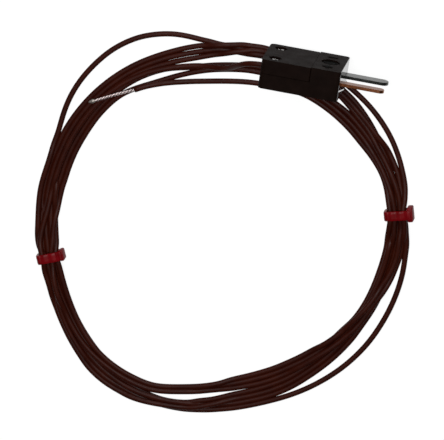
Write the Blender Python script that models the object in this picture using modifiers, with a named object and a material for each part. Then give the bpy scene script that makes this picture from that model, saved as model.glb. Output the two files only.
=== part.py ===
"""Thermocouple probe: a thin twin cable, coiled and held by two ties, with a miniature
flat-pin plug on one end and a bare twisted pair with its weld bead on the other.

The origin is the centre of the plug's mating face. X points out of that face along the
pins, Y out of the wide face that holds the screws, and Z up from the surface that the
coil lies on. The plug stands on its narrow edge on top of the coil.
"""

import math

import bmesh
import bpy
import numpy as np
from mathutils import Quaternion, Vector

MM = 0.001

# Clearances
FIT = 0.1 * MM    # between pieces that fit inside each other
SEAT = 0.3 * MM   # between a piece and what it rests on

# Plug body
PLUG_LENGTH = 20.0 * MM
PLUG_WIDTH = 16.0 * MM
PLUG_THICKNESS = 7.6 * MM
REAR_CORNER_RADIUS = 1.2 * MM
FRONT_CORNER_RADIUS = 0.8 * MM
EDGE_ROUNDING = 0.3 * MM
CORNER_STEP = 0.25 * MM        # a rounded corner has one side for each such step of its radius
FRONT_BLOCK_LENGTH = 7.4 * MM
COVER_STEP = 0.15 * MM        # the cover's face lies this far below the front block's
FLOOR_WALL = 1.2 * MM
ROOF_WALL = 0.9 * MM
SIDE_WALL = 1.4 * MM
FRONT_WALL = 1.2 * MM
POCKET_LENGTH = 6.6 * MM
RIB_LENGTH = 3.4 * MM
RIB_THICKNESS = 1.2 * MM
RECESS_DIAMETER = 4.6 * MM    # the shallow round recess in the front block
RECESS_DEPTH = 0.3 * MM
RECESS_SETBACK = 3.8 * MM

# Pins
PIN_SPACING = 7.9 * MM
PIN_THICKNESS = 0.8 * MM
PIN_REACH = 10.8 * MM
PIN_EDGE_ROUNDING = 0.2 * MM
POSITIVE_PIN_WIDTH = 2.4 * MM
NEGATIVE_PIN_WIDTH = 3.2 * MM
TERMINAL_PAD = 4.2 * MM
PAD_CORNER_RADIUS = 0.4 * MM

# Screws and washers
SCREW_SHAFT_RADIUS = 0.8 * MM
TERMINAL_HEAD_RADIUS = 1.5 * MM
TERMINAL_HEAD_HEIGHT = 0.8 * MM
COVER_HEAD_RADIUS = 1.35 * MM
COVER_HEAD_HEIGHT = 1.1 * MM
COVER_SCREW_SPACING = 9.6 * MM
COVER_SCREW_FROM_REAR = 3.0 * MM
COUNTERBORE_RADIUS = 1.55 * MM
COUNTERBORE_DEPTH = 1.6 * MM
DRIVE_SLOT_WIDTH = 0.5 * MM
DRIVE_SLOT_DEPTH = 0.45 * MM
WASHER_RADIUS = 1.8 * MM
WASHER_THICKNESS = 0.4 * MM
BOSS_RADIUS = 1.9 * MM
HOLE_FLOOR = 0.9 * MM         # plastic left under a blind screw hole

# Cable and its wires
CABLE_WIDTH = 1.4 * MM
CABLE_HEIGHT = 1.05 * MM
CORE_DIAMETER = 0.6 * MM
WIRE_DIAMETER = 0.45 * MM
GROMMET_RADIUS = 1.6 * MM
GROMMET_FLANGE_RADIUS = 2.1 * MM
GROMMET_FLANGE_WIDTH = 1.0 * MM
CABLE_INTO_POCKET = 0.2 * MM
TWIST_PITCH = 4.2 * MM
BEAD_DIAMETER = 1.3 * MM
# How an insulated core bends from the cable to its terminal: shares of the way along,
# up and across
CORE_BENDS = ((0, 0, 0), (0.2, 0.1, 0.08), (0.45, 0.45, 0.42), (0.7, 0.9, 0.84), (1, 1, 1))

# Cable ties
TIE_BORE_WIDTH = 5.0 * MM
TIE_BORE_HEIGHT = 2.4 * MM
TIE_CLEARANCE = 0.25 * MM
STRAP_WIDTH = 2.4 * MM
STRAP_THICKNESS = 0.8 * MM
STRAP_CORNER_RADIUS = 1.2 * MM
HEAD_THICKNESS = 1.8 * MM
HEAD_WIDTH = 4.0 * MM
HEAD_HEIGHT = 3.2 * MM
WINDOW_THICKNESS = 0.9 * MM
WINDOW_DEPTH = 0.8 * MM

# Coil: its centre from the plug's mating face, and its height in two layers of cable
COIL_CENTRE = (-25.7 * MM, -45.0 * MM)
COIL_TOP = 2.1 * MM
ONE_LAYER_TOP = 1.15 * MM
COIL_STEPS = 120
TIE_LIFT_ANGLE = 22.0
LEFT_TIE = (201.6, 44.6 * MM)   # angle in degrees round the coil's centre, radius
RIGHT_TIE = (13.7, 44.4 * MM)

# The coil's shape: angle in degrees, inner and outer radius in millimetres
COIL_STATIONS = (
    (32, 41.8, 47.0), (52, 40.3, 47.0), (71, 39.9, 46.9), (91, 39.3, 46.6),
    (111, 38.6, 46.2), (131, 40.2, 45.7), (144, 40.8, 45.6), (161, 40.1, 46.2),
    (179, 40.4, 47.0), (222, 44.4, 49.7), (234, 45.9, 51.6), (246, 46.5, 52.6),
    (263, 44.1, 50.9), (281, 40.7, 48.5), (299, 38.6, 45.8), (316, 38.5, 44.7),
    (336, 40.3, 44.0), (353, 41.0, 45.7),
)
# Where the strands lie side by side: angles between which the coil is one layer high
ONE_LAYER_FROM, ONE_LAYER_TO, ONE_LAYER_BLEND = 96.0, 115.0, 10.0

# Routes in millimetres from the coil's centre and the surface it lies on. The lead runs
# from the plug's rear face down onto the coil, the tail along the coil's inner side.
LEAD_ROUTE = (
    (3.5, 44.85, 10.3), (1.4, 44.4, 9.75), (-0.3, 43.5, 8.6), (-1.7, 42.4, 7.0),
    (-3.1, 41.3, 5.3), (-4.7, 40.4, 3.8), (-6.7, 39.8, 2.6), (-9.0, 39.4, 2.13),
    (-11.7, 38.9, 2.08), (-14.4, 38.2, 2.08), (-16.6, 37.5, 2.09),
)
TAIL_ROUTE = (
    (17.9, 34.9, 0.63), (14.8, 35.8, 0.63), (11.6, 36.3, 0.63), (7.7, 36.8, 0.63),
    (3.7, 36.9, 0.63), (-0.2, 36.7, 0.63), (-5.3, 36.1, 0.63), (-10.6, 34.9, 0.64),
    (-15.0, 33.8, 0.84), (-18.5, 32.8, 1.45), (-21.5, 31.9, 2.25), (-23.8, 31.0, 2.82),
    (-25.8, 30.3, 3.0),
)
BARE_PAIR_ROUTE = (
    (-26.1, 30.2, 3.0), (-30.0, 28.6, 3.02), (-33.9, 26.9, 3.02), (-37.3, 25.3, 2.97),
)

# Values that follow from those above
POCKET_FRONT = -(FRONT_BLOCK_LENGTH + FRONT_WALL)
POCKET_REAR = POCKET_FRONT - POCKET_LENGTH
POCKET_HALF_WIDTH = PLUG_WIDTH / 2 - SIDE_WALL
POCKET_FLOOR = FLOOR_WALL - PLUG_THICKNESS / 2
COVER_FACE = PLUG_THICKNESS / 2 - COVER_STEP
POCKET_ROOF = COVER_FACE - ROOF_WALL
TERMINAL_X = POCKET_FRONT - FIT - TERMINAL_PAD / 2
BOSS_TOP = -PIN_THICKNESS / 2 - FIT
COVER_SCREW_X = COVER_SCREW_FROM_REAR - PLUG_LENGTH
CABLE_RADIUS = (CABLE_WIDTH + CABLE_HEIGHT) / 4
CABLE_END_X = POCKET_REAR + CABLE_INTO_POCKET
WIRE_HEIGHT = PIN_THICKNESS / 2 + FIT / 2 + WIRE_DIAMETER / 2
HOOK_RADIUS = SCREW_SHAFT_RADIUS + FIT + WIRE_DIAMETER / 2
WASHER_BOTTOM = WIRE_HEIGHT + WIRE_DIAMETER / 2 + FIT / 2
TERMINAL_HEAD_BOTTOM = WASHER_BOTTOM + WASHER_THICKNESS + FIT / 2
SURFACE = -(PLUG_WIDTH / 2 + SEAT + COIL_TOP)
TIE_LIFT = STRAP_THICKNESS + TIE_CLEARANCE
UP = Vector((0, 0, 1))


def clear_scene():
    for old in list(bpy.data.objects):
        bpy.data.objects.remove(old, do_unlink=True)


def new_collection(name):
    collection = bpy.data.collections.new(name)
    bpy.context.scene.collection.children.link(collection)
    return collection


def material(name, colour, roughness, metallic=0.0):
    made = bpy.data.materials.new(name)
    made.use_nodes = True
    shader = made.node_tree.nodes["Principled BSDF"]
    shader.inputs["Base Color"].default_value = (*colour, 1.0)
    shader.inputs["Roughness"].default_value = roughness
    shader.inputs["Metallic"].default_value = metallic
    return made


def put(obj, collection, finish=None):
    """Move an object into a collection and give it its material."""
    for old in list(obj.users_collection):
        old.objects.unlink(obj)
    collection.objects.link(obj)
    if finish is not None:
        obj.data.materials.clear()
        obj.data.materials.append(finish)
    return obj


def smooth(obj, angle=40.0):
    obj.data.shade_smooth()
    obj.data.set_sharp_from_angle(angle=math.radians(angle))
    return obj


def box(name, low, high, rounding=0.0):
    """A box between two corners, from a cube primitive."""
    low, high = Vector(low), Vector(high)
    bpy.ops.mesh.primitive_cube_add(size=1, location=(low + high) / 2)
    obj = bpy.context.object
    obj.name = name
    obj.scale = high - low
    bpy.ops.object.transform_apply(location=False, rotation=False, scale=True)
    if rounding:
        add_bevel(obj, rounding)
    return obj


def cylinder(name, radius, start, end, sides=24):
    """A cylinder between the centres of its two ends, turned half a side so that no
    corner lies in the planes where the plug's halves part."""
    start, end = Vector(start), Vector(end)
    run = end - start
    half_side = Quaternion((0, 0, 1), math.pi / sides)
    bpy.ops.mesh.primitive_cylinder_add(
        vertices=sides, radius=radius, depth=run.length, location=(start + end) / 2
    )
    obj = bpy.context.object
    obj.name = name
    obj.rotation_euler = (run.to_track_quat("Z", "Y") @ half_side).to_euler()
    return obj


def add_bevel(obj, width, segments=2):
    bevel = obj.modifiers.new("edges", "BEVEL")
    bevel.width = width
    bevel.segments = segments
    bevel.limit_method = "ANGLE"
    bevel.angle_limit = math.radians(40)
    return bevel


def boolean(obj, other, operation):
    step = obj.modifiers.new(f"{operation.lower()} {other.name}", "BOOLEAN")
    step.operation = operation
    step.solver = "EXACT"
    step.object = other


def hide_cutter(obj):
    obj.hide_render = True
    obj.display_type = "WIRE"
    put(obj, CUTTERS)


def cut(obj, *cutters):
    for cutter in cutters:
        boolean(obj, cutter, "DIFFERENCE")
        hide_cutter(cutter)


def unite(obj, *pieces):
    for piece in pieces:
        boolean(obj, piece, "UNION")
        hide_cutter(piece)


def arc(centre, radius, start, end, steps):
    """Points on an arc in a plane, the angles in degrees."""
    return [
        (
            centre[0] + radius * math.cos(math.radians(angle)),
            centre[1] + radius * math.sin(math.radians(angle)),
        )
        for angle in np.linspace(start, end, steps + 1)
    ]


def rounded_rectangle(left, right, bottom, top, radii):
    """Its four corner radii go round from the top right, as the outline does."""
    corners = (
        (right - radii[0], top - radii[0], 0),
        (left + radii[1], top - radii[1], 90),
        (left + radii[2], bottom + radii[2], 180),
        (right - radii[3], bottom + radii[3], 270),
    )
    outline = []
    for (x, y, turn), radius in zip(corners, radii):
        outline += arc((x, y), radius, turn, turn + 90, max(3, round(radius / CORNER_STEP)))
    return outline


def plate(name, outlines, thickness, rotation=(math.pi / 2, 0, 0)):
    """A flat outline, with any holes in it, as thick as stated about its own plane."""
    curve = bpy.data.curves.new(name, "CURVE")
    curve.dimensions = "2D"
    curve.fill_mode = "BOTH"
    curve.extrude = thickness / 2
    for outline in outlines:
        spline = curve.splines.new("POLY")
        spline.points.add(len(outline) - 1)
        for point, (x, y) in zip(spline.points, outline):
            point.co = (x, y, 0, 1)
        spline.use_cyclic_u = True
    drawn = bpy.data.objects.new(f"{name} outline", curve)
    bpy.context.scene.collection.objects.link(drawn)
    obj = mesh_from(drawn, name)
    obj.rotation_euler = rotation
    return obj


def mesh_from(drawn, name):
    """A mesh object in the place of a curve object, its caps welded to its sides."""
    bpy.context.view_layer.update()
    evaluated = drawn.evaluated_get(bpy.context.evaluated_depsgraph_get())
    mesh = bpy.data.meshes.new_from_object(evaluated)
    shape = bmesh.new()
    shape.from_mesh(mesh)
    bmesh.ops.remove_doubles(shape, verts=shape.verts, dist=0.001 * MM)
    shape.to_mesh(mesh)
    shape.free()
    obj = bpy.data.objects.new(name, mesh)
    bpy.context.scene.collection.objects.link(obj)
    obj.matrix_world = drawn.matrix_world
    bpy.data.objects.remove(drawn, do_unlink=True)
    return obj


def tube(name, points, radius, location=(0, 0, 0), sides=2):
    """A round wire along its points."""
    curve = bpy.data.curves.new(name, "CURVE")
    curve.dimensions = "3D"
    curve.bevel_depth = radius
    curve.bevel_resolution = sides
    curve.use_fill_caps = True
    spline = curve.splines.new("POLY")
    spline.points.add(len(points) - 1)
    for point, place in zip(spline.points, points):
        point.co = (*place, 1)
    spline.use_smooth = True
    obj = bpy.data.objects.new(name, curve)
    bpy.context.scene.collection.objects.link(obj)
    obj.location = location
    return obj


def turned(name, profile, location, closed=False, steps=24):
    """A profile of radius and height turned about the Y direction through its place."""
    mesh = bpy.data.meshes.new(name)
    edges = [(i, i + 1) for i in range(len(profile) - 1)]
    if closed:
        edges.append((len(profile) - 1, 0))
    mesh.from_pydata([(radius, 0, height) for radius, height in profile], edges, [])
    obj = bpy.data.objects.new(name, mesh)
    bpy.context.scene.collection.objects.link(obj)
    screw = obj.modifiers.new("turn", "SCREW")
    screw.axis = "Z"
    screw.angle = math.tau
    screw.steps = screw.render_steps = steps
    screw.use_merge_vertices = True
    screw.merge_threshold = 0.001 * MM
    screw.use_smooth_shade = True
    obj.rotation_euler = (-math.pi / 2, 0, 0)
    obj.location = location
    return obj


def smooth_route(points, spacing):
    """Points a given distance apart on a smooth curve through the route's own points."""
    points = np.array(points, float)
    ends = [2 * points[0] - points[1], 2 * points[-1] - points[-2]]
    full = np.vstack([ends[0], points, ends[1]])
    fine = []
    for a, b, c, d in zip(full, full[1:], full[2:], full[3:]):
        for t in np.linspace(0, 1, 24, endpoint=False):
            fine.append(
                0.5 * (2 * b + (c - a) * t + (2 * a - 5 * b + 4 * c - d) * t**2
                       + (3 * b - a - 3 * c + d) * t**3)
            )
    fine.append(points[-1])
    fine = np.array(fine)
    run = np.concatenate([[0], np.cumsum(np.linalg.norm(np.diff(fine, axis=0), axis=1))])
    count = max(2, round(run[-1] / spacing))
    at = np.linspace(0, run[-1], count + 1)
    return [tuple(np.interp(at, run, fine[:, axis])[i] for axis in range(3))
            for i in range(count + 1)]


def body_outline(front, radius_front):
    """The wide face's outline from the rear end to a front edge."""
    half = PLUG_WIDTH / 2
    radii = (radius_front, REAR_CORNER_RADIUS, REAR_CORNER_RADIUS, radius_front)
    return rounded_rectangle(-PLUG_LENGTH, front, -half, half, radii)


def pin_slots(prefix):
    """Cutters for the two blades, from the pocket out through the mating face."""
    half_height = PIN_THICKNESS / 2 + FIT
    slots = []
    for side, width in ((1, POSITIVE_PIN_WIDTH), (-1, NEGATIVE_PIN_WIDTH)):
        z = side * PIN_SPACING / 2
        half_width = width / 2 + FIT
        slots.append(box(
            f"{prefix} slot {side:+d}",
            (POCKET_FRONT - SEAT, -half_height, z - half_width),
            (SEAT, half_height, z + half_width),
        ))
    return slots


def cable_way(prefix):
    """Cutters for the grommet, its flange and the cable behind the pocket."""
    rear = -PLUG_LENGTH
    grommet_front = POCKET_REAR - FRONT_WALL + 2 * FIT
    flange = (rear + grommet_front) / 2
    half_flange = GROMMET_FLANGE_WIDTH / 2 + FIT
    return [
        cylinder(
            f"{prefix} cable way", CABLE_RADIUS + SEAT,
            (rear - SEAT, 0, 0), (POCKET_REAR + SEAT, 0, 0),
        ),
        cylinder(
            f"{prefix} grommet seat", GROMMET_RADIUS + FIT,
            (rear - SEAT, 0, 0), (grommet_front, 0, 0),
        ),
        cylinder(
            f"{prefix} flange groove", GROMMET_FLANGE_RADIUS + FIT,
            (flange - half_flange, 0, 0), (flange + half_flange, 0, 0),
        ),
    ]


def plug_base():
    """The lower shell with the full-height front block, its pocket, bosses and slots."""
    half = PLUG_THICKNESS / 2
    base = plate("plug_base", [body_outline(0, FRONT_CORNER_RADIUS)], PLUG_THICKNESS)
    add_bevel(base, EDGE_ROUNDING)
    beyond = PLUG_WIDTH
    cut(
        base,
        box(
            "cover seat",
            (-PLUG_LENGTH - SEAT, 0, -beyond), (-FRONT_BLOCK_LENGTH, PLUG_THICKNESS, beyond),
        ),
        box(
            "base pocket",
            (POCKET_REAR, POCKET_FLOOR, -POCKET_HALF_WIDTH), (POCKET_FRONT, SEAT, POCKET_HALF_WIDTH),
        ),
    )
    unite(
        base,
        box(
            "rib",
            (POCKET_FRONT - RIB_LENGTH, POCKET_FLOOR - SEAT, -RIB_THICKNESS / 2),
            (POCKET_FRONT + SEAT, -FIT, RIB_THICKNESS / 2),
        ),
    )
    for side in (1, -1):
        z = side * PIN_SPACING / 2
        unite(
            base,
            cylinder(
                f"boss {side:+d}", BOSS_RADIUS,
                (TERMINAL_X, POCKET_FLOOR - SEAT, z), (TERMINAL_X, BOSS_TOP, z),
            ),
        )
        screw_floor = HOLE_FLOOR - half
        cover_z = side * COVER_SCREW_SPACING / 2
        cut(
            base,
            cylinder(
                f"terminal screw hole {side:+d}", SCREW_SHAFT_RADIUS + FIT,
                (TERMINAL_X, screw_floor, z), (TERMINAL_X, SEAT, z), 16,
            ),
            cylinder(
                f"cover screw hole {side:+d}", SCREW_SHAFT_RADIUS + FIT,
                (COVER_SCREW_X, screw_floor, cover_z), (COVER_SCREW_X, SEAT, cover_z), 16,
            ),
        )
    cut(
        base,
        cylinder(
            "round recess", RECESS_DIAMETER / 2,
            (-RECESS_SETBACK, half - RECESS_DEPTH, 0), (-RECESS_SETBACK, half + SEAT, 0), 32,
        ),
        *pin_slots("base"),
        *cable_way("base"),
    )
    return put(smooth(base), PARTS, material("black nylon", (0.018, 0.014, 0.012), 0.42))


def plug_cover():
    """The rear lid, hollow over the terminals, with two counterbored screw holes."""
    cover = plate(
        "plug_cover", [body_outline(-FRONT_BLOCK_LENGTH - FIT, EDGE_ROUNDING)], 2 * COVER_FACE
    )
    add_bevel(cover, EDGE_ROUNDING)
    beyond = PLUG_WIDTH
    cut(
        cover,
        box("lower half", (-PLUG_LENGTH - SEAT, -PLUG_THICKNESS, -beyond), (SEAT, FIT, beyond)),
        box(
            "cover pocket",
            (POCKET_REAR, 0, -POCKET_HALF_WIDTH), (POCKET_FRONT, POCKET_ROOF, POCKET_HALF_WIDTH),
        ),
        *pin_slots("cover"),
        *cable_way("cover"),
    )
    for side in (1, -1):
        z = side * COVER_SCREW_SPACING / 2
        cut(
            cover,
            cylinder(
                f"cover hole {side:+d}", SCREW_SHAFT_RADIUS + FIT,
                (COVER_SCREW_X, 0, z), (COVER_SCREW_X, PLUG_THICKNESS, z), 16,
            ),
            cylinder(
                f"counterbore {side:+d}", COUNTERBORE_RADIUS,
                (COVER_SCREW_X, COVER_FACE - COUNTERBORE_DEPTH, z), (COVER_SCREW_X, PLUG_THICKNESS, z),
            ),
        )
    return put(smooth(cover), PARTS, material("black nylon cover", (0.02, 0.016, 0.014), 0.42))


def pin(name, side, width, colour):
    """A flat blade with a rounded tip and a wider drilled pad under its terminal screw."""
    z = side * PIN_SPACING / 2
    half = width / 2
    pad = TERMINAL_PAD / 2
    pad_front, pad_rear = TERMINAL_X + pad, TERMINAL_X - pad
    corner = PAD_CORNER_RADIUS
    outline = arc((PIN_REACH - half, z), half, -90, 90, 10)
    outline += [(pad_front, z + half), (pad_front, z + pad)]
    outline += arc((pad_rear + corner, z + pad - corner), corner, 90, 180, 3)
    outline += arc((pad_rear + corner, z - pad + corner), corner, 180, 270, 3)
    outline += [(pad_front, z - pad), (pad_front, z - half)]
    hole = arc((TERMINAL_X, z), SCREW_SHAFT_RADIUS + FIT, 0, 360, 16)[:-1]
    made = plate(name, [outline, hole], PIN_THICKNESS)
    add_bevel(made, PIN_EDGE_ROUNDING)
    return put(smooth(made), PARTS, material(name, colour, 0.32, 1.0))


def screw_profile(head_radius, head_height, shaft_length):
    """Down the outer side of a pan-head screw, from the top of its axis to its point."""
    return [
        (0, head_height),
        (0.6 * head_radius, 0.97 * head_height),
        (0.88 * head_radius, 0.8 * head_height),
        (head_radius, 0.45 * head_height),
        (head_radius, 0),
        (SCREW_SHAFT_RADIUS, 0),
        (SCREW_SHAFT_RADIUS, -0.85 * shaft_length),
        (0.5 * SCREW_SHAFT_RADIUS, -shaft_length),
        (0, -shaft_length),
    ]


def screw(name, place, head_radius, head_height, shaft_length, tilt):
    """A slotted pan-head screw; tilt turns its slot, in degrees."""
    made = turned(name, screw_profile(head_radius, head_height, shaft_length), place)
    slot = box(
        f"{name} slot",
        (-2 * head_radius, head_height - DRIVE_SLOT_DEPTH, -DRIVE_SLOT_WIDTH / 2),
        (2 * head_radius, 2 * head_height, DRIVE_SLOT_WIDTH / 2),
    )
    slot.location += Vector(place)
    slot.rotation_euler = (0, math.radians(tilt), 0)
    cut(made, slot)
    return put(made, PARTS, material(name, (0.62, 0.61, 0.6), 0.25, 1.0))


def terminal(sign, side):
    """One terminal's screw, clamp washer, insulated core and hooked wire end."""
    z = side * PIN_SPACING / 2
    shaft_length = TERMINAL_HEAD_BOTTOM + PLUG_THICKNESS / 2 - HOLE_FLOOR - FIT
    screw(
        f"terminal_screw_{sign}", (TERMINAL_X, TERMINAL_HEAD_BOTTOM, z),
        TERMINAL_HEAD_RADIUS, TERMINAL_HEAD_HEIGHT, shaft_length, 30 * side,
    )
    hole = SCREW_SHAFT_RADIUS + FIT
    washer_profile = [
        (hole, WASHER_THICKNESS), (WASHER_RADIUS, WASHER_THICKNESS),
        (WASHER_RADIUS, 0), (hole, 0),
    ]
    washer = turned(
        f"clamp_washer_{sign}", washer_profile, (TERMINAL_X, WASHER_BOTTOM, z), closed=True
    )
    put(washer, PARTS, material(f"clamp washer {sign}", (0.66, 0.62, 0.5), 0.35, 1.0))

    hook_z = z - side * HOOK_RADIUS
    core_end_x = TERMINAL_X - TERMINAL_PAD / 2 + FIT
    core_height = PIN_THICKNESS / 2 + FIT + CORE_DIAMETER / 2
    start_x, start_z = CABLE_END_X + FIT, side * (CORE_DIAMETER / 2 + FIT / 2)
    core_route = [
        (
            start_x + along * (core_end_x - start_x), up * core_height,
            start_z + across * (hook_z - start_z),
        )
        for along, up, across in CORE_BENDS
    ]
    core = tube(
        f"insulated_core_{sign}", smooth_route(core_route, CORE_DIAMETER / 2), CORE_DIAMETER / 2
    )
    colour = (0.55, 0.13, 0.05) if side > 0 else (0.5, 0.02, 0.015)
    put(core, PARTS, material(f"core {sign}", colour, 0.5))

    loop = arc((0, 0), HOOK_RADIUS, -90, 100, 14)
    wire_route = [(core_end_x + FIT, WIRE_HEIGHT, hook_z)]
    wire_route += [(TERMINAL_X + x, WIRE_HEIGHT, z + side * y) for x, y in loop]
    wire = tube(f"wire_end_{sign}", wire_route, WIRE_DIAMETER / 2)
    put(wire, PARTS, material(f"wire end {sign}", (0.7, 0.66, 0.64), 0.3, 1.0))


def cable_grommet():
    """A rubber sleeve with one flange, turned about the cable."""
    length = PLUG_LENGTH + POCKET_REAR - FRONT_WALL
    flange = length / 2
    half_flange = GROMMET_FLANGE_WIDTH / 2
    hole = CABLE_RADIUS + 2 * FIT
    profile = [
        (hole, length), (GROMMET_RADIUS, length),
        (GROMMET_RADIUS, flange + half_flange), (GROMMET_FLANGE_RADIUS, flange + half_flange),
        (GROMMET_FLANGE_RADIUS, flange - half_flange), (GROMMET_RADIUS, flange - half_flange),
        (GROMMET_RADIUS, 0), (hole, 0),
    ]
    made = turned("cable_grommet", profile, (FIT - PLUG_LENGTH, 0, 0), closed=True)
    made.rotation_euler = (0, math.pi / 2, 0)
    return put(made, PARTS, material("grommet rubber", (0.02, 0.02, 0.02), 0.8))


def around(stations, angle):
    """Read a value at an angle from stations round the coil, smoothly and periodically."""
    angles = np.array([station[0] for station in stations], float)
    values = np.array([station[1] for station in stations], float)
    order = np.argsort(angles)
    angles, values = angles[order], values[order]
    angles = np.concatenate([angles[-2:] - 360, angles, angles[:2] + 360])
    values = np.concatenate([values[-2:], values, values[:2]])
    slopes = np.gradient(values, angles)
    angle = angle % 360
    i = int(np.searchsorted(angles, angle, side="right")) - 1
    width = angles[i + 1] - angles[i]
    t = (angle - angles[i]) / width
    return (
        (2 * t**3 - 3 * t**2 + 1) * values[i] + (t**3 - 2 * t**2 + t) * width * slopes[i]
        + (3 * t**2 - 2 * t**3) * values[i + 1] + (t**3 - t**2) * width * slopes[i + 1]
    )


def fade(distance, reach):
    """One at no distance, falling smoothly to nothing at the reach."""
    t = min(1.0, abs(distance) / reach)
    return 0.5 + 0.5 * math.cos(math.pi * t)


def coil_section(angle):
    """The coil's inner and outer radius, bottom and top at an angle in degrees."""
    half_bore = TIE_BORE_WIDTH / 2 - TIE_CLEARANCE
    inner = [(a, low * MM) for a, low, _ in COIL_STATIONS]
    outer = [(a, high * MM) for a, _, high in COIL_STATIONS]
    for tie_angle, radius in (LEFT_TIE, RIGHT_TIE):
        for side in (-3, 3):
            inner.append((tie_angle + side, radius - half_bore))
            outer.append((tie_angle + side, radius + half_bore))
    squeeze = sum(
        fade((angle - tie + 180) % 360 - 180, TIE_LIFT_ANGLE) for tie, _ in (LEFT_TIE, RIGHT_TIE)
    )
    lift = TIE_LIFT * squeeze
    tie_height = TIE_BORE_HEIGHT - 2 * TIE_CLEARANCE
    beside = max(ONE_LAYER_FROM - angle, angle - ONE_LAYER_TO, 0)
    height = COIL_TOP - (COIL_TOP - ONE_LAYER_TOP) * fade(beside, ONE_LAYER_BLEND)
    height += squeeze * (tie_height - height)
    return around(inner, angle), around(outer, angle), lift, lift + height


def cable_coil():
    """One closed solid of the coil's outer shape, lofted round its centre."""
    shape = bmesh.new()
    rings = []
    for step in range(COIL_STEPS):
        angle = 360 * step / COIL_STEPS
        inner, outer, bottom, top = coil_section(angle)
        corner = 0.3 * (top - bottom)
        section = [
            (inner + corner, bottom), (outer - corner, bottom),
            (outer, bottom + corner), (outer, top - corner),
            (outer - corner, top), (inner + corner, top),
            (inner, top - corner), (inner, bottom + corner),
        ]
        turn = math.radians(angle)
        rings.append([
            shape.verts.new((r * math.cos(turn), r * math.sin(turn), z)) for r, z in section
        ])
    for ring, following in zip(rings, rings[1:] + rings[:1]):
        for i, vert in enumerate(ring):
            j = (i + 1) % len(ring)
            shape.faces.new((vert, following[i], following[j], ring[j]))
    bmesh.ops.recalc_face_normals(shape, faces=shape.faces)
    mesh = bpy.data.meshes.new("cable_coil")
    shape.to_mesh(mesh)
    shape.free()
    made = bpy.data.objects.new("cable_coil", mesh)
    made.location = (*COIL_CENTRE, SURFACE)
    return put(smooth(made, 50), PARTS, CABLE_JACKET)


def cable_tubes():
    """The lead from the plug onto the coil, and the tail from the coil to the bare pair."""
    place = (*COIL_CENTRE, SURFACE)
    spacing = 2 * CABLE_WIDTH
    start = Vector((CABLE_END_X, 0, 0)) - Vector(place)
    outside = Vector((-PLUG_LENGTH - SEAT, 0, 0)) - Vector(place)
    route = [tuple(start), tuple(outside)]
    route += [tuple(value * MM for value in point) for point in LEAD_ROUTE]
    put(tube("cable_lead", smooth_route(route, spacing), CABLE_RADIUS, place), PARTS, CABLE_JACKET)
    route = [tuple(value * MM for value in point) for point in TAIL_ROUTE]
    put(tube("cable_tail", smooth_route(route, spacing), CABLE_RADIUS, place), PARTS, CABLE_JACKET)


def bare_pair():
    """Two bare wires twisted round each other, and the bead that joins them."""
    place = (*COIL_CENTRE, SURFACE)
    route = [tuple(value * MM for value in point) for point in BARE_PAIR_ROUTE]
    axis = np.array(smooth_route(route, WIRE_DIAMETER))
    run = np.concatenate([[0], np.cumsum(np.linalg.norm(np.diff(axis, axis=0), axis=1))])
    offset = WIRE_DIAMETER / 2 + FIT / 2
    for sign, phase in (("positive", 0.0), ("negative", math.pi)):
        points = []
        for i, centre in enumerate(axis):
            along = Vector(axis[min(i + 1, len(axis) - 1)] - axis[max(i - 1, 0)]).normalized()
            side = along.cross(UP).normalized()
            turn = math.tau * run[i] / TWIST_PITCH + phase
            out = math.cos(turn) * side + math.sin(turn) * side.cross(along)
            points.append(tuple(Vector(centre) + offset * out))
        wire = tube(f"bare_wire_{sign}", points, WIRE_DIAMETER / 2, place)
        put(wire, PARTS, material(f"bare wire {sign}", (0.75, 0.68, 0.68), 0.3, 1.0))
    along = Vector(axis[-1] - axis[-2]).normalized()
    centre = Vector(axis[-1]) + along * (BEAD_DIAMETER / 2 + FIT) + Vector(place)
    bpy.ops.mesh.primitive_uv_sphere_add(
        segments=20, ring_count=12, radius=BEAD_DIAMETER / 2, location=centre
    )
    bead = bpy.context.object
    bead.name = "weld_bead"
    bead.data.shade_smooth()
    put(bead, PARTS, material("weld bead", (0.45, 0.43, 0.42), 0.45, 1.0))


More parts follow.
